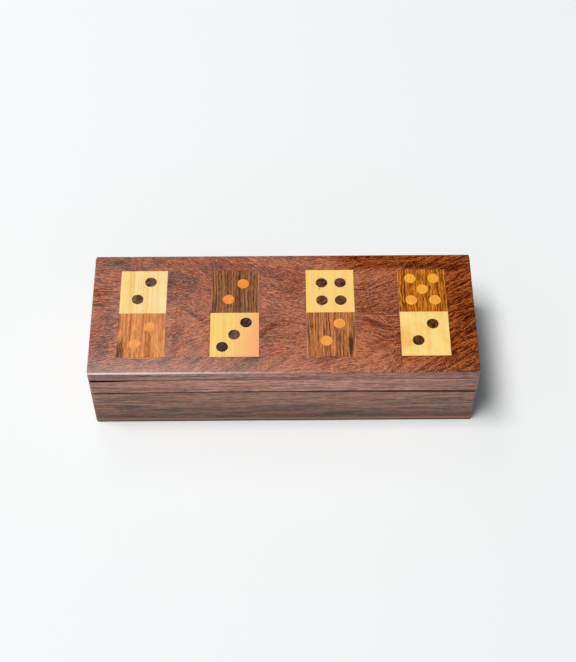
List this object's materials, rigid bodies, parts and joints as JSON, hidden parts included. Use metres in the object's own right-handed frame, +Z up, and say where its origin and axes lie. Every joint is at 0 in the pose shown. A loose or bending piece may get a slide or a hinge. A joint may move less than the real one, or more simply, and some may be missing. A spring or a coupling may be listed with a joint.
{
  "type": "domino storage box",
  "caption": "Long low wooden box with a hinged lid, for a set of dominoes; inlaid domino squares with round pips decorate the lid.",
  "frame": {"origin": "middle of the underside, on the surface that the box stands on; the hinge barrels are left out of the middle", "axes": "+Z up, out of the lid; +X to the right along the box's length, seen from the front; -Y to the front, and the hinges are on the +Y side"},
  "size_m": [0.191, 0.0748, 0.045],
  "materials": {
    "lid_top_wood": "reddish-brown rosewood with wild grain, oiled and rubbed to a soft sheen",
    "side_wood": "brown rosewood with straight dark streaks, oiled",
    "floor_wood": "plain sawn and sanded hardwood, unpolished",
    "pale_inlay_wood": "pale yellow wood, sanded flush and oiled",
    "striped_inlay_wood": "orange-brown wood with dark stripes, sanded flush and oiled",
    "dark_pip_wood": "near-black end-grain dowel, sanded flush",
    "light_pip_wood": "orange end-grain dowel, sanded flush",
    "hinge_brass": "plain brass, slightly dulled"
  },
  "bodies": {
    "base": {"base_front_wall": "side_wood", "base_back_wall": "side_wood", "base_left_wall": "side_wood", "base_right_wall": "side_wood", "base_floor": "floor_wood", "left_hinge_base_leaf": "hinge_brass", "left_hinge_pin": "hinge_brass", "left_hinge_base_screws": "hinge_brass", "right_hinge_base_leaf": "hinge_brass", "right_hinge_pin": "hinge_brass", "right_hinge_base_screws": "hinge_brass"},
    "lid": {"lid_board": "lid_top_wood", "lid_front_rail": "side_wood", "lid_back_rail": "side_wood", "lid_left_rail": "side_wood", "lid_right_rail": "side_wood", "domino_1_back_square": "pale_inlay_wood", "domino_1_front_square": "striped_inlay_wood", "domino_2_back_square": "striped_inlay_wood", "domino_2_front_square": "pale_inlay_wood", "domino_3_back_square": "pale_inlay_wood", "domino_3_front_square": "striped_inlay_wood", "domino_4_back_square": "striped_inlay_wood", "domino_4_front_square": "pale_inlay_wood", "domino_1_back_pips": "dark_pip_wood", "domino_1_front_pips": "light_pip_wood", "domino_2_back_pips": "light_pip_wood", "domino_2_front_pips": "dark_pip_wood", "domino_3_back_pips": "dark_pip_wood", "domino_3_front_pips": "light_pip_wood", "domino_4_back_pips": "light_pip_wood", "domino_4_front_pips": "dark_pip_wood", "left_hinge_lid_leaf": "hinge_brass", "left_hinge_lid_screws": "hinge_brass", "right_hinge_lid_leaf": "hinge_brass", "right_hinge_lid_screws": "hinge_brass"}
  },
  "joints": [
    {"name": "lid_hinge", "type": "hinge", "parent": "base", "child": "lid", "pos_m": [0, 0.0375, 0.02745], "axis": [-1, 0, 0], "range_deg": [0, 187]}
  ]
}
